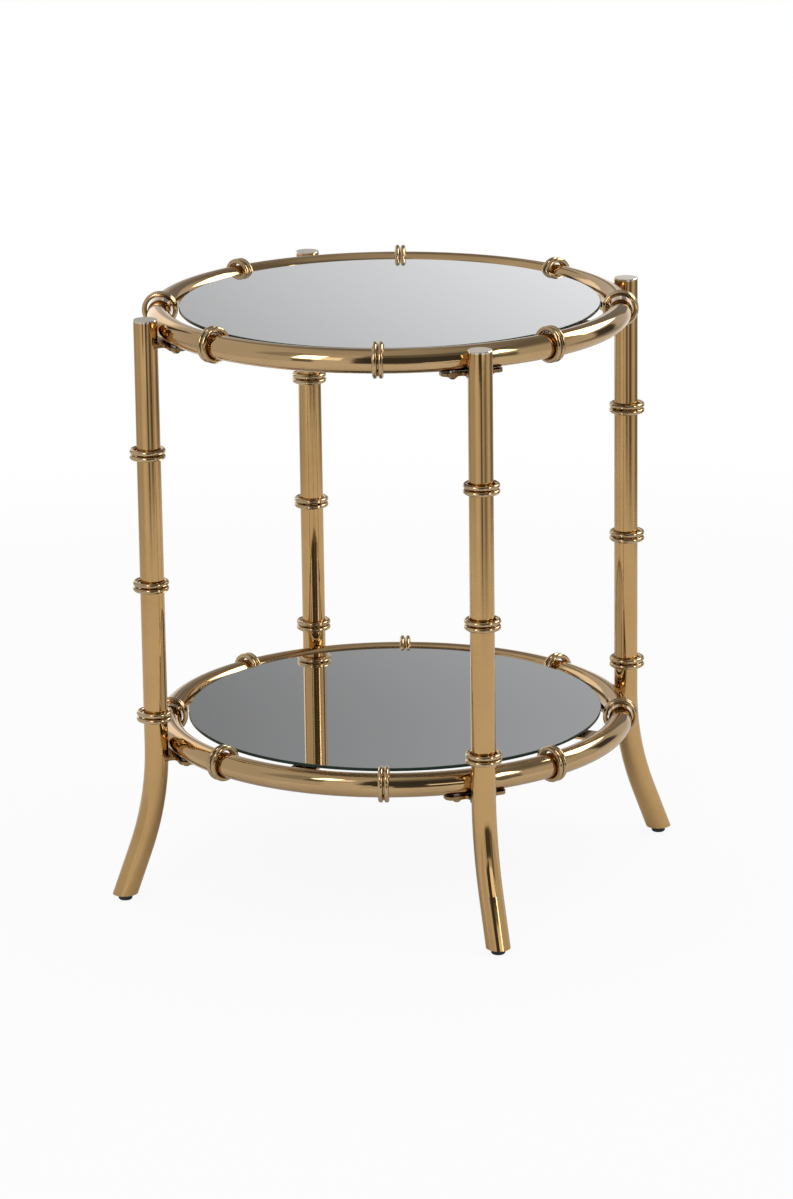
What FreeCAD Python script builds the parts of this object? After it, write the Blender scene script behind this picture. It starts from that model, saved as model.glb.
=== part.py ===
"""Round two-tier side table: tube rings on four swept legs, wire knots, mirror shelves and screw feet.

Millimetres, +Z up. The origin is on the floor under the middle of the table.
The legs stand on the X and Y axes.
"""
import FreeCAD, Part
import os
import Sketcher

from FreeCAD import Placement, Rotation, Vector

# Driving sizes, written once. Every other size and place is worked out from them.
SIZES = {
    # whole table
    "overall_height": 550,
    "fit_clearance": 0.1,
    "running_clearance": 0.3,
    "cut_overrun": 1,
    # rings, measured on the centre line of the tube
    "ring_diameter": 420,
    "ring_tube_diameter": 22,
    "ring_tube_wall": 1.2,
    "lower_ring_height": 145.5,
    # legs, whose bend starts just under the centre line of the lower ring
    "leg_tube_diameter": 22,
    "leg_tube_wall": 1.2,
    "leg_ring_gap": 0.5,
    "leg_bend_drop": 2.5,
    "leg_bend_radius": 267,
    "leg_bend_angle": 21,
    "lowest_knot_rise": 28.1,
    "leg_cap_thickness": 2,
    "leg_cap_chamfer": 0.5,
    "leg_cap_spigot_length": 8,
    "leg_plug_height": 14,
    # knots: each is a pair of round wire rings
    "knot_outer_diameter": 33,
    "knot_wire_diameter": 4.4,
    "knot_wire_gap": 1,
    # mirrors, with the room round their edge and the height of their faces above the ring's centre line
    "mirror_ring_gap": 7,
    "mirror_thickness": 3,
    "mirror_arris": 0.4,
    "upper_mirror_rise": 7.5,
    "lower_mirror_rise": 10,
    "mirror_tab_width": 24,
    "mirror_tab_thickness": 2,
    "mirror_tab_reach": 12,
    "mirror_tab_corner": 2.5,
    "bumper_diameter": 8,
    "bumper_thickness": 1,
    # brackets between legs and rings
    "bracket_length": 57,
    "bracket_width": 16,
    "bracket_thickness": 3,
    "bracket_corner_radius": 6,
    "bracket_tongue_width": 18,
    "bracket_tongue_fillet": 3,
    # bolts and what they pass through
    "bolt_spacing": 34,
    "bolt_diameter": 5,
    "bolt_length": 14,
    "bolt_head_diameter": 9.5,
    "bolt_head_height": 2.8,
    "bolt_head_edge": 0.6,
    "bolt_socket_width": 3,
    "bolt_socket_depth": 1.6,
    "bolt_hole_clearance": 0.25,
    "washer_diameter": 11,
    "washer_thickness": 1,
    "bush_diameter": 9,
    "bush_length": 13,
    "bush_standoff": 0.5,
    # screw feet
    "foot_pad_diameter": 13,
    "foot_pad_height": 5.5,
    "foot_pad_edge_radius": 2,
    "foot_pad_floor": 2,
    "stud_diameter": 6,
    "stud_length": 18,
    "stud_chamfer": 0.8,
    "stud_head_diameter": 9,
    "stud_head_thickness": 1.5,
}

# Places worked out from the sizes above, as formulas of the document.
PLACES = {
    "ring_radius": "sizes.ring_diameter / 2",
    "ring_tube_radius": "sizes.ring_tube_diameter / 2",
    "ring_bore_radius": "places.ring_tube_radius - sizes.ring_tube_wall",
    "knot_wire_radius": "sizes.knot_wire_diameter / 2",
    "knot_radius": "sizes.knot_outer_diameter / 2 - places.knot_wire_radius",
    "knot_inner_radius": "places.knot_radius - places.knot_wire_radius",
    "knot_half_pitch": "(sizes.knot_wire_diameter + sizes.knot_wire_gap) / 2",
    "leg_tube_radius": "sizes.leg_tube_diameter / 2",
    "leg_bore_radius": "places.leg_tube_radius - sizes.leg_tube_wall",
    # a ring's knots bear on the underside of its tube, a leg's knots on its inner side
    "ring_knot_lift": "places.knot_inner_radius - places.ring_tube_radius - sizes.fit_clearance",
    "leg_knot_shift": "places.knot_inner_radius - places.leg_tube_radius - sizes.fit_clearance",
    "upper_ring_height": "sizes.overall_height - sizes.knot_outer_diameter / 2 - places.ring_knot_lift",
    "ring_reach": "places.ring_radius + places.ring_tube_radius",
    "leg_radius": "places.ring_reach + sizes.leg_ring_gap + places.leg_tube_radius",
    "leg_top": "places.upper_ring_height + places.ring_tube_radius",
    "leg_tube_top": "places.leg_top - sizes.leg_cap_thickness",
    "leg_end_height": "sizes.foot_pad_height + sizes.running_clearance",
    # the knots of a leg divide its length from the top down to the lowest knot
    "leg_knot_span": "places.leg_top - sizes.lower_ring_height - sizes.lowest_knot_rise",
    # the leg's centre line: straight, then an arc, then a straight tail that runs past the cut end
    "bend_height": "sizes.lower_ring_height - sizes.leg_bend_drop",
    "bend_end_height": "places.bend_height - sizes.leg_bend_radius * sin(sizes.leg_bend_angle * 1 deg)",
    "bend_end_radius": "places.leg_radius + sizes.leg_bend_radius * (1 - cos(sizes.leg_bend_angle * 1 deg))",
    "tail_slope": "tan(sizes.leg_bend_angle * 1 deg)",
    "tail_end_height": "places.leg_end_height - sizes.leg_tube_diameter",
    "tail_end_radius": "places.bend_end_radius + (places.bend_end_height - places.tail_end_height)"
                       " * places.tail_slope",
    "foot_radius": "places.bend_end_radius + (places.bend_end_height - places.leg_end_height)"
                   " * places.tail_slope",
    # bolts lie on the ring's centre line, either side of the leg
    "bolt_aside": "sizes.bolt_spacing / 2",
    "bolt_across": "sqrt(places.ring_radius * places.ring_radius - places.bolt_aside * places.bolt_aside)",
    "bolt_radius": "sizes.bolt_diameter / 2",
    "bracket_drop": "places.ring_tube_radius + sizes.bush_standoff + sizes.bracket_thickness",
    "mirror_radius": "places.ring_radius - places.ring_tube_radius - sizes.mirror_ring_gap",
    "tab_tip_radius": "places.mirror_radius - sizes.mirror_tab_reach",
    "bumper_place_radius": "places.tab_tip_radius + sizes.mirror_tab_reach / 2",
    "stud_radius": "sizes.stud_diameter / 2",
    "stud_seat": "sizes.foot_pad_floor + sizes.fit_clearance",
    "foot_pocket_height": "sizes.stud_head_thickness + 2 * sizes.fit_clearance",
    "foot_lip_height": "sizes.foot_pad_floor + places.foot_pocket_height",
}

# Directions of the four legs in degrees about Z, the knots of a leg from the top down, counts, and the
# turn of each pattern from the first leg.
LEGS = {"right": 0, "back": 90, "left": 180, "front": 270}
LEG_KNOTS = ("upper", "middle", "lower")
RING_KNOT_COUNT = 8
FULL_TURN = 360
RING_KNOT_TURN = FULL_TURN / RING_KNOT_COUNT / 2
TAB_TURN = FULL_TURN / len(LEGS) / 2
HEXAGON_SIDES = 6
HEXAGON_TURN = FULL_TURN / HEXAGON_SIDES

# How a sketch numbers its own axes, its origin, and the points of a line, arc or circle.
X_AXIS, Y_AXIS = range(-1, -3, -1)
ORIGIN = X_AXIS
START, END, CENTRE = range(1, 4)
UP = Vector(0, 0, 1)

doc = FreeCAD.newDocument("side_table")
nodes = []


def fill_sheet(name, entries):
    """A spreadsheet with one aliased cell for each entry."""
    sheet = doc.addObject("Spreadsheet::Sheet", name)
    for row, (alias, text) in enumerate(entries.items(), start=1):
        sheet.set(f"A{row}", alias)
        sheet.setAlias(f"B{row}", alias)
        sheet.set(f"B{row}", text)
    return sheet


sizes = fill_sheet("sizes", {alias: str(size) for alias, size in SIZES.items()})
places = fill_sheet("places", {alias: "=" + formula for alias, formula in PLACES.items()})
doc.recompute()


def number(expression):
    """The value of an expression in the document."""
    return float(sizes.evalExpression(expression))


def bind(item, **expressions):
    """Tie properties of an object to expressions."""
    for name, expression in expressions.items():
        item.setExpression(name.replace("__", "."), expression)
    return item


def place_node(item, turn, across, height):
    """Turn a finished piece about Z, stand it off the Z axis and list it as a node."""
    rotation = Rotation(UP, turn)
    item.Placement = Placement(rotation.multVec(Vector(across, 0, 0)) + Vector(0, 0, height), rotation)
    nodes.append(item)


def origin_feature(body, role):
    """One of the body's own origin planes or axes."""
    return next(feature for feature in body.Origin.OriginFeatures if feature.Role == role)


def new_body(label):
    return doc.addObject("PartDesign::Body", label)


def new_sketch(body, name, role, height="0", across="0"):
    """A sketch on one of the body's origin planes, moved along its normal and along its first axis."""
    sketch = body.newObject("Sketcher::SketchObject", name)
    sketch.AttachmentSupport = [(origin_feature(body, role), "")]
    sketch.MapMode = "FlatFace"
    return bind(sketch, AttachmentOffset__Base__z=height, AttachmentOffset__Base__x=across)


def hold_length(sketch, kind, geometry, expression):
    """A dimension of a sketch that follows an expression."""
    index = sketch.addConstraint(Sketcher.Constraint(kind, *geometry, number(expression)))
    sketch.setExpression(f"Constraints[{index}]", expression)


def hold_coordinate(sketch, kind, axis, point, expression):
    """Hold one coordinate of a point: on the axis where it is zero, otherwise off the origin."""
    if expression == "0":
        sketch.addConstraint(Sketcher.Constraint("PointOnObject", *point, axis))
    elif number(expression) < 0:
        hold_length(sketch, kind, (*point, ORIGIN, START), f"-({expression})")
    else:
        hold_length(sketch, kind, (ORIGIN, START, *point), expression)


def hold_point(sketch, point, across, along):
    hold_coordinate(sketch, "DistanceX", Y_AXIS, point, across)
    hold_coordinate(sketch, "DistanceY", X_AXIS, point, along)


def add_circle(sketch, radius, across="0", along="0"):
    centre = Vector(number(across), number(along), 0)
    index = sketch.addGeometry(Part.Circle(centre, UP, number(radius)))
    hold_length(sketch, "Radius", (index,), radius)
    hold_point(sketch, (index, CENTRE), across, along)


def add_outline(sketch, corners):
    """A closed outline of straight lines through corners given as pairs of expressions."""
    points = [Vector(number(across), number(along), 0) for across, along in corners]
    first = sketch.GeometryCount
    for start, end in zip(points, points[1:] + points[:1]):
        sketch.addGeometry(Part.LineSegment(start, end))
    for index, corner in enumerate(corners):
        following = first + (index + 1) % len(corners)
        sketch.addConstraint(Sketcher.Constraint("Coincident", first + index, END, following, START))
        hold_point(sketch, (first + index, START), *corner)


def mirrored_corners(corners):
    """Corners on one side of the first axis, followed by their mirror images in return order."""
    return corners + [(across, f"-({along})") for across, along in reversed(corners)]


def pad_sketch(body, name, sketch, length):
    pad = body.newObject("PartDesign::Pad", name)
    pad.Profile = sketch
    return bind(pad, Length=length)


def pocket_sketch(body, name, sketch, depth):
    """Cut a sketch downwards into the body, and make sure that it removes material."""
    doc.recompute()
    whole = body.Shape.Volume
    pocket = body.newObject("PartDesign::Pocket", name)
    pocket.Profile = sketch
    bind(pocket, Length=depth)
    doc.recompute()
    if not body.Shape.Volume < whole:
        raise ValueError(f"{body.Label}: {name} cuts nothing")
    return pocket


def turn_sketch(body, name, sketch):
    """Revolve a sketch about the body's Z axis."""
    turned = body.newObject("PartDesign::Revolution", name)
    turned.Profile = sketch
    turned.ReferenceAxis = (origin_feature(body, "Z_Axis"), [""])
    turned.Angle = FULL_TURN
    return turned


def turned_body(label, corners):
    """A body turned from an outline of radii and heights."""
    body = new_body(label)
    sketch = new_sketch(body, "profile", "XZ_Plane")
    add_outline(sketch, corners)
    turn_sketch(body, "turning", sketch)
    return body


def dress_edges(body, kind, name, wanted, **expressions):
    """Fillet or chamfer the edges of the body's newest feature that pass a test."""
    doc.recompute()
    base = body.Tip
    edges = [f"Edge{index}" for index, edge in enumerate(base.Shape.Edges, start=1) if wanted(edge)]
    dressing = body.newObject(f"PartDesign::{kind}", name)
    dressing.Base = (base, edges)
    return bind(dressing, **expressions)


def upright_at(*spots):
    """A test for upright edges that stand at one of these spots."""
    def wanted(edge):
        start, end = edge.firstVertex().Point, edge.lastVertex().Point
        flat = Vector(start.x, start.y, 0)
        upright = flat.isEqual(Vector(end.x, end.y, 0), number("sizes.fit_clearance"))
        return upright and any(flat.isEqual(spot, number("sizes.fit_clearance")) for spot in spots)
    return wanted


def level_circle(height, radius):
    """A test for level round edges of this radius at this height."""
    def wanted(edge):
        circle = edge.Curve
        if not isinstance(circle, Part.Circle):
            return False
        near = number("sizes.fit_clearance")
        return abs(circle.Center.z - height) < near and abs(circle.Radius - radius) < near
    return wanted


def polar_pattern(body, name, count):
    """A full circle of copies about the body's Z axis."""
    pattern = body.newObject("PartDesign::PolarPattern", name)
    pattern.Axis = (origin_feature(body, "Z_Axis"), [""])
    pattern.Angle = FULL_TURN
    pattern.Occurrences = count
    return pattern


def spread_features(body, features, count):
    """Repeat features all round the Z axis."""
    pattern = polar_pattern(body, "all_round", count)
    pattern.Originals = features
    body.Tip = pattern


def spread_pairs(body, features, count):
    """Mirror features to the other side of the XZ plane, and repeat both all round the Z axis."""
    spread = body.newObject("PartDesign::MultiTransform", "pairs_all_round")
    spread.Originals = features
    pair = body.newObject("PartDesign::Mirrored", "pair")
    pair.MirrorPlane = (origin_feature(body, "XZ_Plane"), [""])
    spread.Transformations = [pair, polar_pattern(body, "all_round", count)]
    body.Tip = spread


def add_wire(body, name, role, across, along, height):
    """One round wire ring of a knot, in a plane parallel to an origin plane."""
    wire = body.newObject("PartDesign::AdditiveTorus", name)
    wire.AttachmentSupport = [(origin_feature(body, role), "")]
    wire.MapMode = "FlatFace"
    bind(wire, Radius1="places.knot_radius", Radius2="places.knot_wire_radius")
    bind(wire, AttachmentOffset__Base__x=across, AttachmentOffset__Base__y=along)
    return bind(wire, AttachmentOffset__Base__z=height)


def make_ring(label, height):
    """A hoop of round tube, with holes in its underside for the threaded bushes."""
    body = new_body(label)
    section = new_sketch(body, "tube_section", "XZ_Plane")
    add_circle(section, "places.ring_tube_radius", "places.ring_radius")
    add_circle(section, "places.ring_bore_radius", "places.ring_radius")
    turn_sketch(body, "tube", section)
    holes = new_sketch(body, "bush_holes", "XY_Plane")
    for side in ("", "-"):
        add_circle(holes, "sizes.bush_diameter / 2 + sizes.fit_clearance",
                   "places.bolt_across", f"{side}places.bolt_aside")
    pocket = pocket_sketch(body, "bush_hole_pair", holes, "places.ring_tube_radius + sizes.cut_overrun")
    spread_features(body, [pocket], len(LEGS))
    place_node(body, 0, 0, height)


def make_ring_knots(label, height):
    """The knots of one ring, each a pair of wires, midway between the legs and beside them."""
    body = new_body(label)
    wire = add_wire(body, "wire", "XZ_Plane", "places.ring_radius", "places.ring_knot_lift",
                    "places.knot_half_pitch")
    spread_pairs(body, [wire], RING_KNOT_COUNT)
    place_node(body, RING_KNOT_TURN, 0, height)


def make_leg(label, turn):
    """A tube that runs straight down, sweeps outwards in an arc and is cut off level above the foot."""
    body = new_body(label)
    section = new_sketch(body, "tube_section", "XY_Plane", "places.leg_tube_top")
    add_circle(section, "places.leg_tube_radius", "places.leg_radius")
    add_circle(section, "places.leg_bore_radius", "places.leg_radius")
    path = new_sketch(body, "centre_line", "XZ_Plane")
    points = [("places.leg_radius", "places.leg_tube_top"), ("places.leg_radius", "places.bend_height"),
              ("places.bend_end_radius", "places.bend_end_height"),
              ("places.tail_end_radius", "places.tail_end_height")]
    top, bend_start, bend_end, tail = [Vector(number(across), number(along), 0) for across, along in points]
    middle = bend_middle()
    straight = path.addGeometry(Part.LineSegment(top, bend_start))
    bend = path.addGeometry(Part.ArcOfCircle(bend_start, middle, bend_end))
    tail_line = path.addGeometry(Part.LineSegment(bend_end, tail))
    hold_point(path, (straight, START), *points[0])
    hold_point(path, (straight, END), *points[1])
    hold_point(path, (tail_line, START), *points[2])
    hold_point(path, (tail_line, END), *points[3])
    arc_ends = sorted((START, END), key=lambda end: path.getPoint(bend, end).distanceToPoint(bend_start))
    path.addConstraint(Sketcher.Constraint("Coincident", bend, arc_ends[0], straight, END))
    path.addConstraint(Sketcher.Constraint("Coincident", bend, arc_ends[1], tail_line, START))
    hold_length(path, "Radius", (bend,), "sizes.leg_bend_radius")
    tube = body.newObject("PartDesign::AdditivePipe", "tube")
    tube.Profile = section
    tube.Spine = path
    end = new_sketch(body, "level_end", "XY_Plane", "places.leg_end_height")
    add_circle(end, "sizes.leg_tube_diameter", "places.foot_radius")
    pocket_sketch(body, "level_cut", end, "2 * sizes.leg_tube_diameter")
    place_node(body, turn, 0, 0)


def bend_middle():
    """The point halfway along the bend of a leg's centre line."""
    half = Rotation(UP, number("sizes.leg_bend_angle") / 2)
    radius = number("sizes.leg_bend_radius")
    centre = Vector(number("places.leg_radius") + radius, number("places.bend_height"), 0)
    return centre + half.multVec(Vector(-radius, 0, 0))


def make_leg_cap(label, turn):
    """A disc that closes the top of a leg, with a spigot in its bore."""
    spigot = "places.leg_bore_radius - sizes.fit_clearance"
    body = turned_body(label, [
        ("0", "-sizes.leg_cap_spigot_length"),
        (spigot, "-sizes.leg_cap_spigot_length"),
        (spigot, "0"),
        ("places.leg_tube_radius", "0"),
        ("places.leg_tube_radius", "sizes.leg_cap_thickness - sizes.leg_cap_chamfer"),
        ("places.leg_tube_radius - sizes.leg_cap_chamfer", "sizes.leg_cap_thickness"),
        ("0", "sizes.leg_cap_thickness"),
    ])
    place_node(body, turn, number("places.leg_radius"), number("places.leg_tube_top"))


def make_leg_knot(label, turn, step):
    """A knot on a leg: two level wires."""
    body = new_body(label)
    wire = add_wire(body, "wire", "XY_Plane", "places.leg_radius + places.leg_knot_shift", "0",
                    "places.knot_half_pitch")
    pair = body.newObject("PartDesign::Mirrored", "pair")
    pair.Originals = [wire]
    pair.MirrorPlane = (origin_feature(body, "XY_Plane"), [""])
    body.Tip = pair
    drop = number("places.leg_knot_span") * step / len(LEG_KNOTS)
    place_node(body, turn, 0, number("places.leg_top") - drop)


def make_leg_plug(label, turn):
    """A slug that fills the slanting end of a leg, cut level, with an upright hole for the stud."""
    slug = doc.addObject("Part::Cylinder", f"{label}_slug")
    bind(slug, Radius="places.leg_bore_radius - sizes.fit_clearance", Height="4 * sizes.leg_plug_height")
    slant = Rotation(Vector(0, 1, 0), -number("sizes.leg_bend_angle"))
    slug.Placement = Placement(slant.multVec(Vector(0, 0, -2 * number("sizes.leg_plug_height"))), slant)
    slab = doc.addObject("Part::Cylinder", f"{label}_slab")
    bind(slab, Radius="4 * sizes.leg_tube_diameter", Height="sizes.leg_plug_height")
    level = doc.addObject("Part::Common", f"{label}_level")
    level.Base = slug
    level.Tool = slab
    hole = doc.addObject("Part::Cylinder", f"{label}_hole")
    bind(hole, Radius="places.stud_radius + sizes.running_clearance",
         Height="sizes.leg_plug_height + 2 * sizes.cut_overrun")
    hole.Placement = Placement(Vector(0, 0, -number("sizes.cut_overrun")), Rotation())
    plug = doc.addObject("Part::Cut", label)
    plug.Base = level
    plug.Tool = hole
    place_node(plug, turn, number("places.foot_radius"), number("places.leg_end_height"))


def make_foot_pad(label, turn):
    """A round foot with a rounded lower edge, moulded round the head of its stud."""
    radius = "sizes.foot_pad_diameter / 2"
    throat = "places.stud_radius + sizes.fit_clearance"
    pocket = "sizes.stud_head_diameter / 2 + sizes.fit_clearance"
    body = turned_body(label, [
        ("0", "0"),
        (radius, "0"),
        (radius, "sizes.foot_pad_height"),
        (throat, "sizes.foot_pad_height"),
        (throat, "places.foot_lip_height"),
        (pocket, "places.foot_lip_height"),
        (pocket, "sizes.foot_pad_floor"),
        ("0", "sizes.foot_pad_floor"),
    ])
    dress_edges(body, "Fillet", "rounded_edge", level_circle(0, number(radius)),
                Radius="sizes.foot_pad_edge_radius")
    place_node(body, turn, number("places.foot_radius"), 0)


def make_foot_stud(label, turn):
    """The threaded stud of a foot, with a flat head held in the pad."""
    tip = "sizes.stud_head_thickness + sizes.stud_length"
    body = turned_body(label, [
        ("0", "0"),
        ("sizes.stud_head_diameter / 2", "0"),
        ("sizes.stud_head_diameter / 2", "sizes.stud_head_thickness"),
        ("places.stud_radius", "sizes.stud_head_thickness"),
        ("places.stud_radius", f"{tip} - sizes.stud_chamfer"),
        ("places.stud_radius - sizes.stud_chamfer", tip),
        ("0", tip),
    ])
    place_node(body, turn, number("places.foot_radius"), number("places.stud_seat"))


def leg_axis_at(height):
    """How far out the centre line of a leg is at a height."""
    below_start = number("places.bend_height") - height
    if below_start <= 0:
        return "places.leg_radius"
    if height > number("places.bend_end_height"):
        return ("places.leg_radius + sizes.leg_bend_radius"
                f" - sqrt(sizes.leg_bend_radius * sizes.leg_bend_radius - {below_start} * {below_start})")
    return f"places.bend_end_radius + (places.bend_end_height - {height}) * places.tail_slope"


def make_bracket(label, turn, ring_height):
    """A T-shaped plate under a ring: its bar takes two bolts, its tongue is coped to the leg and welded."""
    height = ring_height - number("places.bracket_drop")
    inner = "places.bolt_across - sizes.bracket_width / 2"
    outer = "places.bolt_across + sizes.bracket_width / 2"
    leg_axis = leg_axis_at(height + number("sizes.bracket_thickness") / 2)
    body = new_body(label)
    plan = new_sketch(body, "plan", "XY_Plane")
    add_outline(plan, mirrored_corners([
        (inner, "sizes.bracket_length / 2"),
        (outer, "sizes.bracket_length / 2"),
        (outer, "sizes.bracket_tongue_width / 2"),
        (leg_axis, "sizes.bracket_tongue_width / 2"),
    ]))
    pad_sketch(body, "plate", plan, "sizes.bracket_thickness")
    bar_end = number("sizes.bracket_length") / 2
    bar_corners = [Vector(number(across), side * bar_end, 0) for across in (inner, outer) for side in (1, -1)]
    dress_edges(body, "Fillet", "rounded_ends", upright_at(*bar_corners),
                Radius="sizes.bracket_corner_radius")
    tongue_side = number("sizes.bracket_tongue_width") / 2
    tongue_roots = [Vector(number(outer), side * tongue_side, 0) for side in (1, -1)]
    dress_edges(body, "Fillet", "tongue_roots", upright_at(*tongue_roots),
                Radius="sizes.bracket_tongue_fillet")
    cuts = new_sketch(body, "leg_and_bolts", "XY_Plane", "sizes.bracket_thickness")
    add_circle(cuts, "places.leg_tube_radius + sizes.fit_clearance", leg_axis)
    for side in ("", "-"):
        add_circle(cuts, "places.bolt_radius + sizes.bolt_hole_clearance",
                   "places.bolt_across", f"{side}places.bolt_aside")
    pocket_sketch(body, "cope_and_holes", cuts, "sizes.bracket_thickness + sizes.cut_overrun")
    place_node(body, turn, 0, height)


def make_collars(label, height, outer, bore, length):
    """Plain round collars, one at each bolt: washers or threaded bushes."""
    body = new_body(label)
    section = new_sketch(body, "section", "XY_Plane")
    add_circle(section, outer, "places.bolt_across", "places.bolt_aside")
    add_circle(section, bore, "places.bolt_across", "places.bolt_aside")
    spread_pairs(body, [pad_sketch(body, "collar", section, length)], len(LEGS))
    place_node(body, 0, 0, height)


def make_bolts(label, height):
    """Low round-headed bolts with a hexagon socket, heads down, one pair under each bracket."""
    head = "sizes.bolt_head_height"
    body = new_body(label)
    profile = new_sketch(body, "profile", "XZ_Plane", "-places.bolt_aside", "places.bolt_across")
    add_outline(profile, [
        ("0", "0"),
        ("sizes.bolt_head_diameter / 2 - sizes.bolt_head_height + sizes.bolt_head_edge", "0"),
        ("sizes.bolt_head_diameter / 2", f"{head} - sizes.bolt_head_edge"),
        ("sizes.bolt_head_diameter / 2", head),
        ("places.bolt_radius", head),
        ("places.bolt_radius", f"{head} + sizes.bolt_length"),
        ("0", f"{head} + sizes.bolt_length"),
    ])
    turned = body.newObject("PartDesign::Revolution", "turning")
    turned.Profile = profile
    turned.ReferenceAxis = (profile, ["V_Axis"])
    turned.Angle = FULL_TURN
    socket = new_sketch(body, "socket_outline", "XY_Plane", "sizes.bolt_socket_depth")
    corner_radius = f"sizes.bolt_socket_width / 2 / cos({HEXAGON_TURN / 2} deg)"
    add_outline(socket, [(f"places.bolt_across + {corner_radius} * cos({step * HEXAGON_TURN} deg)",
                          f"places.bolt_aside + {corner_radius} * sin({step * HEXAGON_TURN} deg)")
                         for step in range(HEXAGON_SIDES)])
    cut = pocket_sketch(body, "socket", socket, "sizes.bolt_socket_depth + sizes.cut_overrun")
    spread_pairs(body, [turned, cut], len(LEGS))
    place_node(body, 0, 0, height)


def make_mirror(label, top):
    """A disc of mirror glass with its sharp edges ground off."""
    body = new_body(label)
    plan = new_sketch(body, "plan", "XY_Plane")
    add_circle(plan, "places.mirror_radius")
    pad_sketch(body, "glass", plan, "sizes.mirror_thickness")
    dress_edges(body, "Chamfer", "ground_edges", lambda edge: isinstance(edge.Curve, Part.Circle),
                Size="sizes.mirror_arris")
    place_node(body, 0, 0, top - number("sizes.mirror_thickness"))


def make_mirror_tabs(label, ring_height, rise):
    """Flat tabs welded to the inside of a ring, midway between the legs, which carry the mirror."""
    body = new_body(label)
    plan = new_sketch(body, "plan", "XY_Plane", f"{rise} - sizes.mirror_thickness - sizes.bumper_thickness"
                                                " - sizes.mirror_tab_thickness")
    side = "sizes.mirror_tab_width / 2"
    add_outline(plan, mirrored_corners([
        ("places.tab_tip_radius", f"{side} - sizes.mirror_tab_corner"),
        ("places.tab_tip_radius + sizes.mirror_tab_corner", side),
        ("places.ring_radius", side),
    ]))
    plate = pad_sketch(body, "plate", plan, "sizes.mirror_tab_thickness")
    tube = body.newObject("PartDesign::SubtractiveTorus", "tube_cope")
    bind(tube, Radius1="places.ring_radius", Radius2="places.ring_tube_radius + sizes.fit_clearance")
    spread_features(body, [plate, tube], len(LEGS))
    place_node(body, TAB_TURN, 0, ring_height)


def make_bumpers(label, mirror_underside):
    """Soft discs between the tabs and the mirror."""
    body = new_body(label)
    plan = new_sketch(body, "plan", "XY_Plane")
    add_circle(plan, "sizes.bumper_diameter / 2", "places.bumper_place_radius")
    spread_features(body, [pad_sketch(body, "disc", plan, "sizes.bumper_thickness")], len(LEGS))
    place_node(body, TAB_TURN, 0, mirror_underside - number("sizes.bumper_thickness"))


def make_tier(tier, ring_height):
    """One ring with its knots, brackets, fastenings and mirror."""
    rise = f"sizes.{tier}_mirror_rise"
    mirror_top = ring_height + number(rise)
    plate_underside = ring_height - number("places.bracket_drop")
    washer_underside = plate_underside - number("sizes.washer_thickness")
    make_ring(f"{tier}_ring", ring_height)
    make_ring_knots(f"{tier}_ring_knots", ring_height)
    for side, turn in LEGS.items():
        make_bracket(f"{side}_{tier}_bracket", turn, ring_height)
    make_collars(f"{tier}_ring_bushes", plate_underside + number("sizes.bracket_thickness"),
                 "sizes.bush_diameter / 2", "places.bolt_radius + sizes.fit_clearance", "sizes.bush_length")
    make_collars(f"{tier}_bolt_washers", washer_underside,
                 "sizes.washer_diameter / 2", "places.bolt_radius + sizes.bolt_hole_clearance",
                 "sizes.washer_thickness")
    make_bolts(f"{tier}_bolts", washer_underside - number("sizes.bolt_head_height"))
    make_mirror(f"{tier}_mirror", mirror_top)
    make_mirror_tabs(f"{tier}_mirror_tabs", ring_height, rise)
    make_bumpers(f"{tier}_mirror_bumpers", mirror_top - number("sizes.mirror_thickness"))


def make_leg_set(side, turn):
    """One leg with its cap, knots, plug and screw foot."""
    make_leg(f"{side}_leg", turn)
    make_leg_cap(f"{side}_leg_cap", turn)
    for step, level in enumerate(LEG_KNOTS, start=1):
        make_leg_knot(f"{side}_leg_{level}_knot", turn, step)
    make_leg_plug(f"{side}_leg_plug", turn)
    make_foot_pad(f"{side}_foot_pad", turn)
    make_foot_stud(f"{side}_foot_stud", turn)


def write_nodes():
    """Check every object and every node's shape, then write one file for each node."""
    doc.recompute()
    failed = [item.Label for item in doc.Objects if {"Invalid", "Error"} & set(item.State)]
    failed += [node.Label for node in nodes if node.Shape.isNull() or not node.Shape.isValid()]
    if failed:
        raise ValueError("failed: " + ", ".join(failed))
    os.makedirs("parts", exist_ok=True)
    for node in nodes:
        node.Shape.exportStep(f"parts/{node.Label}.step")
        print(node.Label, len(node.Shape.Solids), round(node.Shape.Volume, 1))


make_tier("upper", number("places.upper_ring_height"))
make_tier("lower", number("sizes.lower_ring_height"))
for leg_side, leg_turn in LEGS.items():
    make_leg_set(leg_side, leg_turn)
write_nodes()
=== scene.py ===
"""Looks of a round two-tier side table: polished gold tube and wire, mirror shelves and nylon screw feet."""
import math

import bpy
from mathutils import Matrix, Vector


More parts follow.
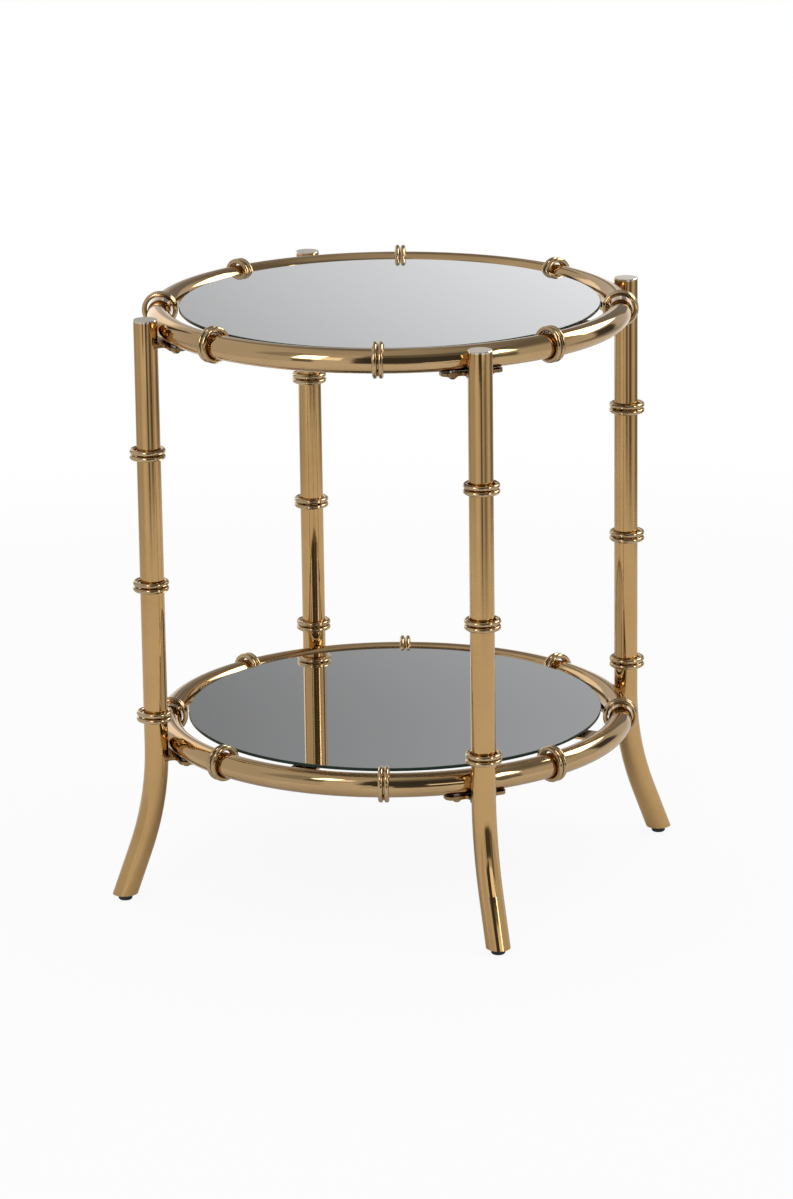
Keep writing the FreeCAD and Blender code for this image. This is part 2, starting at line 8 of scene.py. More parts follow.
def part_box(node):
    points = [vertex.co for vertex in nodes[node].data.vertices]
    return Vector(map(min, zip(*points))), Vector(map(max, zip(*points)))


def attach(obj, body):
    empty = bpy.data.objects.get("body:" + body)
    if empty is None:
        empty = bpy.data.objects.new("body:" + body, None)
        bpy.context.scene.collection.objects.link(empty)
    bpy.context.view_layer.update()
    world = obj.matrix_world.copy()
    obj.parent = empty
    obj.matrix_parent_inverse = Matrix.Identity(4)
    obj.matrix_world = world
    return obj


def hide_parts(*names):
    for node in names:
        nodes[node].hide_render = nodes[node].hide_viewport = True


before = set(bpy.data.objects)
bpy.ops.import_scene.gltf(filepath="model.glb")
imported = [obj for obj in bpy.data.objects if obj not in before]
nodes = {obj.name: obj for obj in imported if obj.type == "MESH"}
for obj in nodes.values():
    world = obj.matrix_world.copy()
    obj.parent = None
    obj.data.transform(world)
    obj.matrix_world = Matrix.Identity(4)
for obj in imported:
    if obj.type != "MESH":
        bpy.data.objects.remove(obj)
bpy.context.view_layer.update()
scene = bpy.context.scene

MM = 0.001
TIERS = ("upper", "lower")
LEG_TURNS = {"right": 0, "back": 90, "left": 180, "front": 270}
LEG_KNOTS = ("upper", "middle", "lower")
RING_KNOT_TURNS = [22.5 + 45 * step for step in range(8)]
TAB_TURNS = [45 + 90 * step for step in range(4)]

# Sizes of the CAD pieces that their boxes don't give.
BRACKET_TONGUE_WIDTH = 18 * MM
TAB_WIDTH = 24 * MM
MIRROR_GROUND_EDGE = 0.55 * MM
MIRROR_PAINT_DEPTH = 2.8 * MM
STUD_HEAD_HEIGHT = 1.5 * MM
THREAD_RADIUS = 3.0 * MM

# The stud's thread, which the CAD leaves out.
THREAD_PITCH = 1.0 * MM
THREAD_DEPTH = 0.55 * MM

# Beads of braze and weld: how far their middles stand off the metal, their unevenness, their places round a
# tube in degrees, and their number along a seam.
KNOT_BEAD_LIFT = 1.1 * MM
BRACKET_WELD_LIFT = 0.3 * MM
TAB_WELD_LIFT = 0.2 * MM
BEAD_WOBBLE = 0.5 * MM
RING_KNOT_LEANS = (-38, -12, 15, 40)
LEG_KNOT_LEANS = (-70, -30, 5, 35, 75)
BRACKET_WELD_STEPS = 12
TAB_WELD_STEPS = 8
TAB_WELD_SHARE = 0.9

# The photograph's camera, in the table's frame, and the level ways to its right and towards it.
CAMERA_PLACE = Vector((-1.44635, -4.07039, 1.46771))
CAMERA_RIGHT = Vector((0.9408125, -0.33869651, -0.01251028))
CAMERA_UP = Vector((0.10265852, 0.24959323, 0.96289379))
CAMERA_LENS = 145.42
CAMERA_SENSOR = 36.0
CAMERA_REACH = 100.0
TO_RIGHT = Vector((CAMERA_RIGHT.x, CAMERA_RIGHT.y, 0.0))
TO_CAMERA = Vector((CAMERA_RIGHT.y, -CAMERA_RIGHT.x, 0.0))

# The floor reaches this far to each side, and melts away between two distances from the table's middle.
FLOOR_REACH = 1.8
FLOOR_FADE = (1.1, 1.75)

# The far studio is a bowl: its radius in metres, its rim in degrees above the floor, and how finely it is cut.
STUDIO_RADIUS = 40.0
STUDIO_RIM = -40
STUDIO_BANDS = 40
STUDIO_SIDES = 72
BOARD_STEPS = 12

# Panels of the far studio: from and to in degrees right of the camera, foot and top in degrees above the floor,
# slant, softness of the edges in degrees, and brightness.
STUDIO_PANELS = (
    (-12, 46, 28, 56, 0.0, 6, 0.16),
    (0, 52, -4, 6, 0.0, 2, 0.08),
    (-33, -18, -6, 14, 0.0, 4, 0.75),
    (-64, -50, 24, 52, 0.0, 8, 0.38),
    (-174, -150, 8, 33, 0.0, 3, 0.65),
    (150, 173, 8, 46, 0.0, 3, 0.24),
    (50.5, 63.5, 22, 38.5, 0.65, 2.5, 6.00),
    (49, 60, -6, 10, 0.0, 3, 0.20),
)

# Brightness of the far studio where it shows past the floor: degrees right of the camera, and brightness.
STUDIO_SKIRT = (
    (-180, 0.95), (-158, 0.90), (-140, 0.50), (-120, 0.46), (-95, 0.58), (-60, 0.55), (-42, 0.76),
    (-24, 0.78), (-13, 0.66), (-4, 0.54), (3, 0.13), (8, 0.07), (13, 0.32), (19, 0.62), (25, 0.52),
    (35, 0.12), (47, 0.12), (58, 0.50), (72, 0.72), (88, 0.66), (105, 0.22), (125, 0.22), (140, 0.40),
    (158, 0.90), (180, 0.95),
)

# Softboxes, boards and stands near the table: from and to in degrees right of the camera, distance from the
# middle of the table, foot and top in metres, brightness, and softness of the edges in degrees.
NEAR_BOARDS = {
    "left_softbox": (-40.4, -28.1, 0.80, 0.665, 1.095, 6.00, 0.8),
    "left_softbox_wing": (-31, -19.5, 0.81, 0.653, 0.977, 1.50, 1),
    "left_softbox_stand": (-40.5, -30.5, 0.80, 0.373, 0.607, 0.18, 1),
    "left_low_board": (-32, -17, 0.81, 0.313, 0.477, 0.80, 1),
    "front_low_board": (13.5, 44.5, 1.40, 0.27, 0.472, 1.35, 1),
    "front_stand": (-10.5, 15, 1.41, 0.228, 0.472, 0.06, 1),
    "front_dark_board": (-18, 47, 1.42, 0.36, 1.55, 0.06, 4),
    "left_back_board": (-159, -131, 1.10, 0.14, 1.16, 1.30, 6),
    "left_back_stand": (-131, -119, 1.12, 0.41, 1.29, 0.05, 4),
    "right_dark_stand": (104, 129, 2.10, 0.09, 1.16, 0.07, 6),
    "right_back_softbox": (102.5, 139.5, 1.67, 1.08, 2.17, 6.00, 2),
}

# Lamps that light the floor and the dull pieces: place, width in metres, and watts.
LAMPS = {
    "key_softbox": ((-1.8, -2.2, 2.6), 1.6, 30),
    "fill_softbox": ((2.4, -1.2, 2.0), 1.6, 18),
    "top_softbox": ((0.3, 0.6, 3.0), 2.0, 25),
}
LAMP_AIM = Vector((0, 0, 0.25))


class Wired:
    """An output in a node tree. Plain sums and products of outputs add Math nodes to the tree."""

    def __init__(self, tree, socket=None):
        self.tree = tree
        self.socket = socket

    def add(self, kind, settings=None, inputs=None, output=0):
        """A new node: first its settings, then the values or links of its sockets. A list is linked to its
        socket one output after the other."""
        node = self.tree.nodes.new(kind)
        for name, value in (settings or {}).items():
            if name == "stops":
                fill_ramp(node.color_ramp, value)
            else:
                setattr(node, name, value)
        for name, value in (inputs or {}).items():
            for each in value if isinstance(value, list) else [value]:
                if isinstance(each, Wired):
                    self.tree.links.new(each.socket, node.inputs[name])
                else:
                    node.inputs[name].default_value = each
        return Wired(self.tree, node.outputs[output] if len(node.outputs) else None)

    def math(self, operation, first, second=0.0):
        return self.add("ShaderNodeMath", {"operation": operation}, {0: first, 1: second})

    def __add__(self, other):
        return self.math("ADD", self, other)

    def __radd__(self, other):
        return self.math("ADD", other, self)

    def __sub__(self, other):
        return self.math("SUBTRACT", self, other)

    def __rsub__(self, other):
        return self.math("SUBTRACT", other, self)

    def __mul__(self, other):
        return self.math("MULTIPLY", self, other)

    def __rmul__(self, other):
        return self.math("MULTIPLY", other, self)

    def __truediv__(self, other):
        return self.math("DIVIDE", self, other)

    def __gt__(self, other):
        return self.math("GREATER_THAN", self, other)

    def __lt__(self, other):
        return self.math("LESS_THAN", self, other)

    def angle(self, along):
        """The angle, in degrees, of a way that goes this far across and another distance along."""
        return self.math("ARCTAN2", self, along) * math.degrees(1)

    def rise(self, start, end):
        """0 before start, 1 after end, with a smooth rise between them."""
        return self.add("ShaderNodeMapRange", {"interpolation_type": "SMOOTHSTEP"},
                        {"Value": self, "From Min": start, "From Max": end})

    def between(self, start, end, soft):
        """1 between two values, fading to 0 over the soft width outside them."""
        return self.rise(start - soft, start) * (1 - self.rise(end, end + soft))

    def towards(self, other, share):
        """This value, moved by a share of the way to another."""
        return self + share * (other - self)

    def mix(self, first, second):
        """A colour between two others, by this value."""
        return self.add("ShaderNodeMix", {"data_type": "RGBA"},
                        {"Factor": self, 6: first, 7: second}, output=2)


def fill_ramp(ramp, stops):
    while len(ramp.elements) < len(stops):
        ramp.elements.new(1.0)
    for element, (position, colour) in zip(ramp.elements, stops):
        element.position = position
        element.color = colour


def rgb(red, green, blue):
    return (red, green, blue, 1.0)


def grey(level):
    return rgb(level, level, level)


def new_material(name):
    """An empty material, the start of its node tree and its Object coordinates."""
    material = bpy.data.materials.new(name)
    material.use_nodes = True
    material.node_tree.nodes.clear()
    start = Wired(material.node_tree)
    place = start.add("ShaderNodeTexCoord", output="Object")
    return material, start, place


def finish_material(surface):
    surface.add("ShaderNodeOutputMaterial", None, {"Surface": surface})


def principled(start, inputs):
    """End a material in one Principled surface."""
    finish_material(start.add("ShaderNodeBsdfPrincipled", None, inputs))


def emission(start, colour):
    return start.add("ShaderNodeEmission", None, {"Color": colour, "Strength": 1.0})


def blend(share, first, second):
    """A surface between two others."""
    return share.add("ShaderNodeMixShader", None, {0: share, 1: first, 2: second})


def ray_kinds(start):
    """Whether a ray comes from the camera, from a shiny surface or through a clear one."""
    return [start.add("ShaderNodeLightPath", output=f"Is {kind} Ray")
            for kind in ("Camera", "Glossy", "Transmission")]


def noise(place, scale, detail=2.0, roughness=0.5):
    return place.add("ShaderNodeTexNoise", None,
                     {"Vector": place, "Scale": scale, "Detail": detail, "Roughness": roughness})


def bump(height, strength, distance, normal=None):
    inputs = {"Height": height, "Strength": strength, "Distance": distance}
    if normal:
        inputs["Normal"] = normal
    return height.add("ShaderNodeBump", None, inputs)


def length(vector):
    return vector.add("ShaderNodeVectorMath", {"operation": "LENGTH"}, {0: vector}, output="Value")


def height_of(place):
    return place.add("ShaderNodeSeparateXYZ", None, {0: place}, output="Z")


def polished_gold(name, light, dark, shine):
    """Polished and lacquered metal: slow changes of tone, hand smudges, and the faint ripple of a drawn tube."""
    material, start, place = new_material(name)
    tone = noise(place, 14.0, 3.0)
    smudge = noise(place, 70.0, 4.0, 0.6)
    ripple = noise(place, 45.0, 1.0)
    peel = noise(place, 900.0, 2.0)
    principled(start, {
        "Base Color": tone.rise(0.3, 0.7).mix(dark, light),
        "Metallic": 1.0,
        "Roughness": shine + 0.05 * smudge.rise(0.45, 0.75) + 0.02 * peel,
        "Normal": bump(peel, 0.04, 0.1 * MM, bump(ripple, 0.12, 0.4 * MM)),
    })
    return material


def braze_gold_painted_shade():
    """Braze and weld beads: the same gold, duller, with a rippled skin, and a base colour darkened in random
    patches as painted shade where the knot wires bear on their tube.
    """
    material, start, place = new_material("braze_gold_painted_shade")
    skin = noise(place, 700.0, 3.0)
    scale = noise(place, 260.0, 2.0)
    principled(start, {
        # The dark patches in the base colour are painted shade, standing in for the contact shadow between the
        # knot wires and their tube.
        "Base Color": scale.rise(0.35, 0.65).mix(rgb(0.26, 0.15, 0.06), rgb(0.56, 0.37, 0.17)),
        "Metallic": 1.0,
        "Roughness": 0.16 + 0.2 * skin,
        "Normal": bump(skin, 0.5, 0.3 * MM),
    })
    return material


def mirror_glass(name, face_height, radius):
    """A silvered glass disc: mirror face, green ground edge, and grey paint over the silver underneath."""
    material, start, place = new_material(name)
    across = length(start.add("ShaderNodeVectorMath", {"operation": "MULTIPLY"}, {0: place, 1: (1.0, 1.0, 0.0)}))
    edge = across > radius - MIRROR_GROUND_EDGE
    back = (height_of(place) < face_height - MIRROR_PAINT_DEPTH) * (1 - edge)
    wipe = noise(place, 9.0, 3.0)
    dust = noise(place, 1400.0, 2.0)
    orange_peel = noise(place, 600.0, 3.0)
    face_or_edge = edge.mix(rgb(0.86, 0.87, 0.885), rgb(0.020, 0.042, 0.036))
    principled(start, {
        "Base Color": back.mix(face_or_edge, orange_peel.mix(grey(0.16), grey(0.24))),
        "Metallic": (1 - edge) * (1 - back),
        "Roughness": 0.012 + 0.01 * wipe + 0.01 * dust + 0.16 * edge + 0.45 * back,
        "Normal": bump(orange_peel * back + dust * edge, 0.3, 0.05 * MM),
    })
    return material


def black_nylon():
    """Moulded nylon: near black, half gloss, with a fine sparked grain and scuffs on the sole."""
    material, start, place = new_material("black_nylon")
    grain = noise(place, 2600.0, 2.0)
    cloud = noise(place, 240.0, 3.0)
    scuff = (1 - height_of(place).rise(0.0, 1.2 * MM)) * cloud.rise(0.45, 0.7)
    principled(start, {
        "Base Color": scuff.mix(cloud.mix(grey(0.010), grey(0.022)), grey(0.07)),
        "Roughness": 0.26 + 0.12 * grain + 0.25 * scuff,
        "Normal": bump(grain, 0.12, 0.05 * MM),
    })
    return material


def zinc_steel():
    """Bright zinc on turned steel: cool grey with fine lathe marks and a slight bloom."""
    material, start, place = new_material("zinc_steel")
    bloom = noise(place, 220.0, 4.0)
    squeezed = start.add("ShaderNodeMapping", None, {"Vector": place, "Scale": (1.0, 1.0, 30.0)})
    marks = noise(squeezed, 300.0, 2.0)
    principled(start, {
        "Base Color": bloom.mix(rgb(0.50, 0.51, 0.53), rgb(0.68, 0.68, 0.67)),
        "Metallic": 1.0,
        "Roughness": 0.24 + 0.14 * bloom,
        "Normal": bump(marks, 0.15, 0.06 * MM),
    })
    return material


def clear_bumper():
    """Soft clear plastic, a little milky, with tiny bubbles and a dulled skin."""
    material, start, place = new_material("clear_bumper")
    milk = noise(place, 350.0, 3.0)
    bubbles = noise(place, 2200.0, 1.0)
    principled(start, {
        "Base Color": milk.mix(rgb(0.86, 0.89, 0.88), rgb(0.95, 0.96, 0.95)),
        "Roughness": 0.18 + 0.2 * bubbles,
        "IOR": 1.49,
        "Transmission Weight": 0.8,
        "Normal": bump(bubbles, 0.1, 0.05 * MM),
    })
    return material


GOLD = polished_gold("polished_gold", rgb(0.62, 0.392, 0.170), rgb(0.56, 0.348, 0.145), 0.05)
RING_GOLD = polished_gold("ring_gold", rgb(0.61, 0.413, 0.214), rgb(0.55, 0.367, 0.183), 0.05)
WIRE_GOLD = polished_gold("wire_gold", rgb(0.60, 0.44, 0.255), rgb(0.50, 0.355, 0.19), 0.06)
BOLT_GOLD = polished_gold("bolt_gold", rgb(0.46, 0.30, 0.14), rgb(0.38, 0.24, 0.10), 0.14)
# The bracket plates' gold is a darker copy of the gold: painted shade for where they sit under the rings.
PLATE_GOLD_PAINTED_SHADE = polished_gold("plate_gold_painted_shade", rgb(0.36, 0.23, 0.105), rgb(0.25, 0.15, 0.06), 0.2)
# The caps' gold is paler and greyer than the rest. Part of this is their ground finish, and part is a painted
# reflection of the pale backdrop.
CAP_GOLD_PAINTED_REFLECTION = polished_gold("cap_gold_painted_reflection", rgb(0.82, 0.72, 0.60), rgb(0.72, 0.62, 0.50), 0.16)
BRAZE_PAINTED_SHADE = braze_gold_painted_shade()
NYLON = black_nylon()
STEEL = zinc_steel()
CLEAR = clear_bumper()

# The finish of a CAD node, by the last word of its name. Legs and tabs have the plain gold.
FINISHES = {
    "ring": RING_GOLD, "knot": WIRE_GOLD, "knots": WIRE_GOLD, "cap": CAP_GOLD_PAINTED_REFLECTION, "bracket": PLATE_GOLD_PAINTED_SHADE,
    "bolts": BOLT_GOLD, "washers": BOLT_GOLD, "bushes": STEEL, "plug": STEEL, "stud": STEEL,
    "pad": NYLON, "bumpers": CLEAR,
}


def dress(node_name, material):
    for slot in nodes[node_name].material_slots:
        slot.material = material


def dress_cad_nodes():
    """Give every CAD node its finish, and each mirror a glass of its own height and radius."""
    for name in nodes:
        dress(name, FINISHES.get(name.rsplit("_", 1)[1], GOLD))
    for tier in TIERS:
        low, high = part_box(f"{tier}_mirror")
        dress(f"{tier}_mirror", mirror_glass(f"{tier}_mirror_glass", high.z, high.x))


class Shape(Wired):
    """The start of a geometry tree, with named inputs."""

    def __init__(self, name):
        tree = bpy.data.node_groups.new(name, "GeometryNodeTree")
        tree.interface.new_socket("Geometry", in_out="INPUT", socket_type="NodeSocketGeometry")
        tree.interface.new_socket("Geometry", in_out="OUTPUT", socket_type="NodeSocketGeometry")
        super().__init__(tree)
        self.group = self.add("NodeGroupInput").socket.node
        self.names = {}

    def size(self, name):
        """A named input of the tree."""
        socket = self.tree.interface.new_socket(name, in_out="INPUT", socket_type="NodeSocketFloat")
        self.names[name] = socket.identifier
        return Wired(self.tree, self.group.outputs[name])

    def points(self):
        return Wired(self.tree, self.group.outputs["Geometry"])

    def finish(self, geometry, material):
        real = self.add("GeometryNodeRealizeInstances", None, {"Geometry": geometry})
        painted = self.add("GeometryNodeSetMaterial", None, {"Geometry": real, "Material": material})
        self.add("NodeGroupOutput", None, {0: painted})


def bake_shape(name, shape, sizes, spots, turns=()):
    """Run a geometry tree on a cloud of spots and keep the result as a plain mesh object."""
    cloud = bpy.data.meshes.new(name + "_spots")
    cloud.from_pydata([tuple(spot) for spot in spots], [], [])
    if turns:
        along = cloud.attributes.new("along", "FLOAT_VECTOR", "POINT")
        for item, turn in zip(along.data, turns):
            item.vector = turn
    maker = bpy.data.objects.new(name + "_maker", cloud)
    scene.collection.objects.link(maker)
    modifier = maker.modifiers.new(name, "NODES")
    modifier.node_group = shape.tree
    for label, value in sizes.items():
        modifier[shape.names[label]] = value
    bpy.context.view_layer.update()
    mesh = bpy.data.meshes.new_from_object(maker.evaluated_get(bpy.context.evaluated_depsgraph_get()))
    mesh.name = name
    maker.modifiers.remove(modifier)
    bpy.data.objects.remove(maker)
    bpy.data.meshes.remove(cloud)
    for polygon in mesh.polygons:
        polygon.use_smooth = True
    piece = bpy.data.objects.new(name, mesh)
    scene.collection.objects.link(piece)
    return piece


def bead_shape():
    """Small beads of braze on a cloud of spots, each drawn out along its seam and a little different."""
    shape = Shape("braze_beads")
    width = shape.size("bead width")
    stretch = shape.size("bead stretch")
    ball = shape.add("GeometryNodeMeshIcoSphere", None, {"Radius": width, "Subdivisions": 2}, output="Mesh")
    swirl = shape.add("ShaderNodeTexNoise", None, {"Scale": 900.0, "Detail": 1.0}, output="Color")
    wobble = shape.add("ShaderNodeVectorMath", {"operation": "MULTIPLY_ADD"},
                       {0: swirl, 1: (BEAD_WOBBLE,) * 3, 2: (-BEAD_WOBBLE / 2,) * 3})
    lumpy = shape.add("GeometryNodeSetPosition", None, {"Geometry": ball, "Offset": wobble})
    along = shape.add("GeometryNodeInputNamedAttribute", {"data_type": "FLOAT_VECTOR"}, {"Name": "along"})
    turn = shape.add("FunctionNodeAlignRotationToVector", {"axis": "X"}, {"Vector": along})
    spread = shape.add("FunctionNodeRandomValue", {"data_type": "FLOAT"},
                       {2: 0.85, 3: 1.12, "Seed": 7}, output=1)
    size = shape.add("ShaderNodeCombineXYZ", None, {0: spread * stretch, 1: spread, 2: spread})
    beads = shape.add("GeometryNodeInstanceOnPoints", None,
                      {"Points": shape.points(), "Instance": lumpy, "Rotation": turn, "Scale": size})
    shape.finish(beads, BRAZE_PAINTED_SHADE)
    return shape


def turned(turn, across, aside, height):
    """A spot given across, aside of and above the direction of one leg, knot or tab."""
    return Matrix.Rotation(math.radians(turn), 3, "Z") @ Vector((across, aside, height))


def ring_tube(tier):
    """The radius of a ring's tube, and its centre line's distance from the table's middle and height."""
    low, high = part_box(f"{tier}_ring")
    tube = (high.z - low.z) / 2
    return tube, high.x - tube, (low.z + high.z) / 2


def leg_tube():
    """The radius of a leg's tube, and its centre line's distance from the table's middle."""
    low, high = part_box("right_leg_cap")
    tube = (high.x - low.x) / 2
    return tube, high.x - tube


def knot_bead_spots():
    """Beads between the two wires of each knot, where the wires bear on their tube."""
    spots, turns = [], []
    for tier in TIERS:
        tube, axis, middle = ring_tube(tier)
        for turn in RING_KNOT_TURNS:
            for lean in map(math.radians, RING_KNOT_LEANS):
                out = (tube + KNOT_BEAD_LIFT) * math.sin(lean)
                down = (tube + KNOT_BEAD_LIFT) * math.cos(lean)
                spots.append(turned(turn, axis + out, 0, middle - down))
                turns.append(turned(turn, math.cos(lean), 0, math.sin(lean)))
    tube, axis = leg_tube()
    for turn in LEG_TURNS.values():
        for level in LEG_KNOTS:
            low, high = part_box(f"right_leg_{level}_knot")
            for lean in map(math.radians, LEG_KNOT_LEANS):
                back = (tube + KNOT_BEAD_LIFT) * math.cos(lean)
                aside = (tube + KNOT_BEAD_LIFT) * math.sin(lean)
                spots.append(turned(turn, axis - back, aside, (low.z + high.z) / 2))
                turns.append(turned(turn, math.sin(lean), math.cos(lean), 0))
    return spots, turns


def bracket_bead_spots():
    """A run of weld ripples over and under each bracket's tongue, round the leg."""
    spots, turns = [], []
    tube, axis = leg_tube()
    reach = math.asin(BRACKET_TONGUE_WIDTH / 2 / tube)
    for tier in TIERS:
        low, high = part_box(f"right_{tier}_bracket")
        for turn in LEG_TURNS.values():
            for height in (low.z, high.z):
                for step in range(BRACKET_WELD_STEPS + 1):
                    lean = reach * (2 * step / BRACKET_WELD_STEPS - 1)
                    back = (tube + BRACKET_WELD_LIFT) * math.cos(lean)
                    aside = (tube + BRACKET_WELD_LIFT) * math.sin(lean)
                    spots.append(turned(turn, axis - back, aside, height))
                    turns.append(turned(turn, math.sin(lean), math.cos(lean), 0))
    return spots, turns


def tab_bead_spots():
    """Two short welds over and under the root of each mirror tab."""
    spots, turns = [], []
    for tier in TIERS:
        tube, axis, middle = ring_tube(tier)
        low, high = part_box(f"{tier}_mirror_tabs")
        for turn in TAB_TURNS:
            for height in (low.z, high.z):
                root = axis - math.sqrt(max(tube ** 2 - (height - middle) ** 2, 0.0))
                for step in range(TAB_WELD_STEPS + 1):
                    aside = TAB_WIDTH * (step / TAB_WELD_STEPS - 0.5) * TAB_WELD_SHARE
                    spots.append(turned(turn, root - TAB_WELD_LIFT, aside, height))
                    turns.append(turned(turn, 0, 1, 0))
    return spots, turns


def make_beads():
    """Three runs of beads: their spots and turns, the beads' radius, and how far they are drawn out."""
    shape = bead_shape()
    runs = {"knot_brazing": (knot_bead_spots(), 1.25 * MM, 2.6),
            "bracket_welds": (bracket_bead_spots(), 1.0 * MM, 1.3),
            "tab_welds": (tab_bead_spots(), 0.8 * MM, 1.4)}
    for name, ((spots, turns), width, stretch) in runs.items():
        piece = bake_shape(name, shape, {"bead width": width, "bead stretch": stretch}, spots, turns)
        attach(piece, "frame")


def stud_shape():
    """A threaded stud with a flat round head: head, core and one spiral ridge."""
    shape = Shape("foot_stud")
    foot = shape.size("head underside")
    head_radius = shape.size("head radius")
    head_height = shape.size("head height")
    thread_length = shape.size("thread length")
    radius = shape.size("thread radius")
    pitch = shape.size("thread pitch")
    depth = shape.size("thread depth")
    core = radius - depth

    def lifted(geometry, lift):
        rise = shape.add("ShaderNodeCombineXYZ", None, {2: lift})
        return shape.add("GeometryNodeTransform", None, {"Geometry": geometry, "Translation": rise})

    def disc(width, height, lift):
        solid = shape.add("GeometryNodeMeshCylinder", None,
                          {"Vertices": 48, "Radius": width, "Depth": height}, output="Mesh")
        return lifted(solid, lift + height / 2.0)

    head = disc(head_radius, head_height, foot)
    shank = disc(core, thread_length, foot + head_height)
    rise = thread_length - pitch
    spiral = shape.add("GeometryNodeCurveSpiral", None,
                       {"Resolution": 40, "Rotations": rise / pitch, "Start Radius": core, "End Radius": core,
                        "Height": rise})
    ridge = shape.add("GeometryNodeCurvePrimitiveCircle", None,
                      {"Resolution": 4, "Radius": depth}, output="Curve")
    thread = shape.add("GeometryNodeCurveToMesh", None,
                       {"Curve": lifted(spiral, foot + head_height + pitch / 2.0), "Profile Curve": ridge,
                        "Fill Caps": True})
    stud = shape.add("GeometryNodeJoinGeometry", None, {0: [thread, shank, head]})
    at_spot = shape.add("GeometryNodeInstanceOnPoints", None, {"Points": shape.points(), "Instance": stud})
    shape.finish(at_spot, STEEL)
    return shape


def make_studs():
    """Threaded studs in the place of the plain CAD ones, which move with their feet."""
    shape = stud_shape()
    for side in LEG_TURNS:
        node = f"{side}_foot_stud"
        low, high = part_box(node)
        middle = (low + high) / 2
        sizes = {"head underside": low.z, "head radius": (high.x - low.x) / 2, "head height": STUD_HEAD_HEIGHT,
                 "thread length": high.z - low.z - STUD_HEAD_HEIGHT, "thread radius": THREAD_RADIUS,
                 "thread pitch": THREAD_PITCH, "thread depth": THREAD_DEPTH}
        piece = bake_shape(f"{side}_threaded_stud", shape, sizes, [(middle.x, middle.y, 0.0)])
        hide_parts(node)
        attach(piece, f"{side}_foot")


def stage_mesh(name, vertices, faces, material):
    mesh = bpy.data.meshes.new(name)
    mesh.from_pydata(vertices, [], faces)
    mesh.materials.append(material)
    piece = bpy.data.objects.new(name, mesh)
    scene.collection.objects.link(piece)
    return piece


def make_floor():
    """A pale floor, near white to the camera, which takes the table's soft shadow and melts away at its rim."""
    material, start, place = new_material("pale_floor")
    cloud = noise(place, 3.0, 3.0)
    paint = start.add("ShaderNodeBsdfDiffuse", None, {"Color": cloud.mix(grey(0.60), grey(0.63))})
    seen, glossy, through = ray_kinds(start)
    pale = blend(0.92 * seen + 0.1 * glossy + 0.1 * through, paint, emission(start, grey(1.0)))
    clear = start.add("ShaderNodeBsdfTransparent")
    finish_material(blend(length(place).rise(*FLOOR_FADE), pale, clear))
    corners = [(FLOOR_REACH * x, FLOOR_REACH * y, 0.0) for x, y in ((-1, -1), (1, -1), (1, 1), (-1, 1))]
    stage_mesh("floor", corners, [(0, 1, 2, 3)], material)


def right_and_near(place):
    """How far a place lies to the camera's right of the table's middle, and how far towards the camera."""
    return [place.add("ShaderNodeVectorMath", {"operation": "DOT_PRODUCT"}, {0: place, 1: way}, output="Value")
            for way in (TO_RIGHT, TO_CAMERA)]


def studio_material():
    """The far studio: walls, a glow that fades upwards behind the table, a pale ceiling and soft panels, and the
    skirt below them that shows past the floor."""
    material, start, place = new_material("studio")
    right, near = right_and_near(place)
    away = length(start.add("ShaderNodeCombineXYZ", None, {0: right, 1: near}))
    side = right.angle(near)
    up = height_of(place).angle(away)
    lean = right / away
    beyond = start.math("ABSOLUTE", side)

    wall = 0.62 - 0.42 * lean.rise(-0.35, 0.15) * up.rise(18, 46)
    glow = 0.30 + 0.49 * (1 - up.rise(10.5, 17.5)) + 0.3 * (1 - up.rise(5, 11)) * (1 - beyond.rise(164, 174))
    glow = glow * (1 + 5.0 * lean * beyond.rise(171, 176))
    ceiling = 0.47 - 0.06 * lean
    level = wall.towards(glow, beyond.rise(146, 158)).towards(ceiling, up.rise(54, 74))
    for first, last, foot, top, slant, soft, brightness in STUDIO_PANELS:
        above = up - slant * (side - (first + last) / 2)
        level = level.towards(brightness, side.between(first, last, soft) * above.between(foot, top, soft))
    stops = [((turn + 180) / 360, grey(brightness)) for turn, brightness in STUDIO_SKIRT]
    skirt = start.add("ShaderNodeValToRGB", {"stops": stops}, {"Fac": side / 360.0 + 0.5})
    finish_material(emission(start, skirt.towards(level, up.rise(-11, -4))))
    return material


def board_material(name, first, last, away, foot, top, brightness, soft):
    """A board near the table, evenly bright, that melts away at its edges."""
    material, start, place = new_material(name)
    right, near = right_and_near(place)
    fade = away * math.radians(soft)
    across = right.angle(near).between(first + soft, last - soft, soft)
    upright = height_of(place).between(foot + fade, top - fade, fade)
    clear = start.add("ShaderNodeBsdfTransparent")
    finish_material(blend(across * upright, clear, emission(start, grey(brightness))))
    return material


def make_screen(name, material, vertices, faces):
    """A screen of the studio that only the metal and glass show."""
    screen = stage_mesh(name, vertices, faces, material)
    screen.visible_camera = False
    screen.visible_diffuse = False
    screen.visible_shadow = False


def bowl():
    """Rings of points round the table, from below the floor to overhead, joined into faces that look inwards."""
    vertices, faces = [], []
    for band in range(STUDIO_BANDS + 1):
        tilt = math.radians(STUDIO_RIM + (90 - STUDIO_RIM) * band / STUDIO_BANDS)
        across, lift = STUDIO_RADIUS * math.cos(tilt), STUDIO_RADIUS * math.sin(tilt)
        for side in range(STUDIO_SIDES):
            turn = 2 * math.pi * side / STUDIO_SIDES
            vertices.append((across * math.cos(turn), across * math.sin(turn), lift))
    for band in range(STUDIO_BANDS):
        here, above = band * STUDIO_SIDES, (band + 1) * STUDIO_SIDES
        for side in range(STUDIO_SIDES):
            following = (side + 1) % STUDIO_SIDES
            faces.append((here + side, above + side, above + following, here + following))
    return vertices, faces


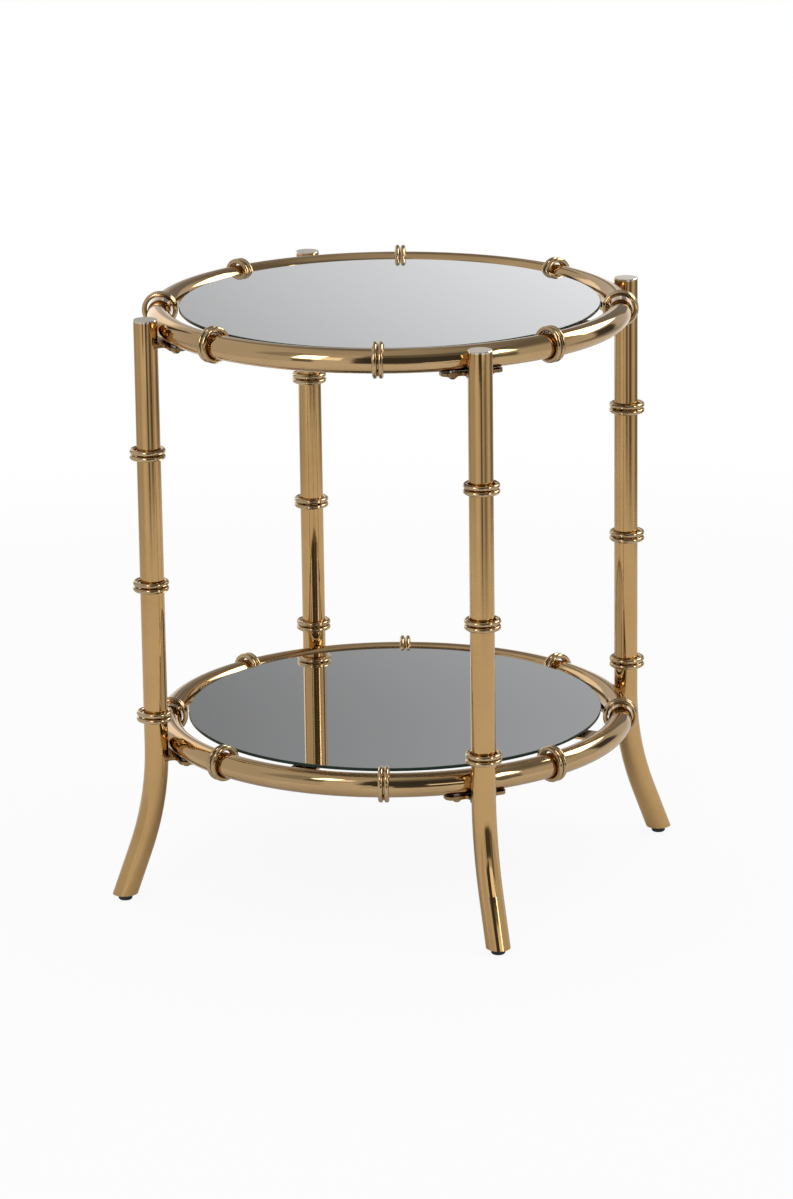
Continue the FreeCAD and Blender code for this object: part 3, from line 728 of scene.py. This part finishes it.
def strip(first, last, away, foot, top):
    """An upright strip on a circle round the table, placed by degrees right of the camera."""
    vertices = []
    for step in range(BOARD_STEPS + 1):
        turn = math.radians(first + (last - first) * step / BOARD_STEPS)
        spot = away * (math.sin(turn) * TO_RIGHT + math.cos(turn) * TO_CAMERA)
        vertices += [(spot.x, spot.y, foot), (spot.x, spot.y, top)]
    faces = [(2 * step, 2 * step + 1, 2 * step + 3, 2 * step + 2) for step in range(BOARD_STEPS)]
    return vertices, faces


def make_studio():
    """One large bowl round the table, from below the floor's rim to overhead, and the boards near the table."""
    make_screen("studio", studio_material(), *bowl())
    for name, board in NEAR_BOARDS.items():
        make_screen(name, board_material(name, *board), *strip(*board[:5]))


def make_lamp(name, place, size, watts):
    """A round softbox that lights the scene but isn't mirrored in the table."""
    lamp = bpy.data.lights.new(name, "AREA")
    lamp.shape = "DISK"
    lamp.size = size
    lamp.energy = watts
    holder = bpy.data.objects.new(name, lamp)
    holder.location = place
    holder.rotation_mode = "QUATERNION"
    holder.rotation_quaternion = (LAMP_AIM - Vector(place)).to_track_quat("-Z", "Y")
    holder.visible_glossy = False
    holder.visible_camera = False
    scene.collection.objects.link(holder)


def make_world():
    """White where it is seen, mirrored or seen through, and a little greyer as a light."""
    world = bpy.data.worlds.new("studio")
    world.use_nodes = True
    world.node_tree.nodes.clear()
    start = Wired(world.node_tree)
    seen, glossy, through = ray_kinds(start)
    share = start.math("MINIMUM", seen + glossy + through, 1.0)
    light = share.mix(grey(0.75), grey(1.0))
    background = start.add("ShaderNodeBackground", None, {"Color": light, "Strength": 1.0})
    start.add("ShaderNodeOutputWorld", None, {"Surface": background})
    scene.world = world


def make_camera():
    camera = bpy.data.cameras.new("photo_camera")
    camera.sensor_width = CAMERA_SENSOR
    camera.lens = CAMERA_LENS
    camera.clip_end = CAMERA_REACH
    holder = bpy.data.objects.new("photo_camera", camera)
    back = CAMERA_RIGHT.cross(CAMERA_UP)
    turn = Matrix((CAMERA_RIGHT, CAMERA_UP, back)).transposed()
    holder.matrix_world = Matrix.Translation(CAMERA_PLACE) @ turn.to_4x4()
    scene.collection.objects.link(holder)
    scene.camera = holder


scene.view_settings.view_transform = "Standard"
dress_cad_nodes()
make_beads()
make_studs()
make_floor()
make_studio()
for lamp_name, lamp_sizes in LAMPS.items():
    make_lamp(lamp_name, *lamp_sizes)
make_world()
make_camera()
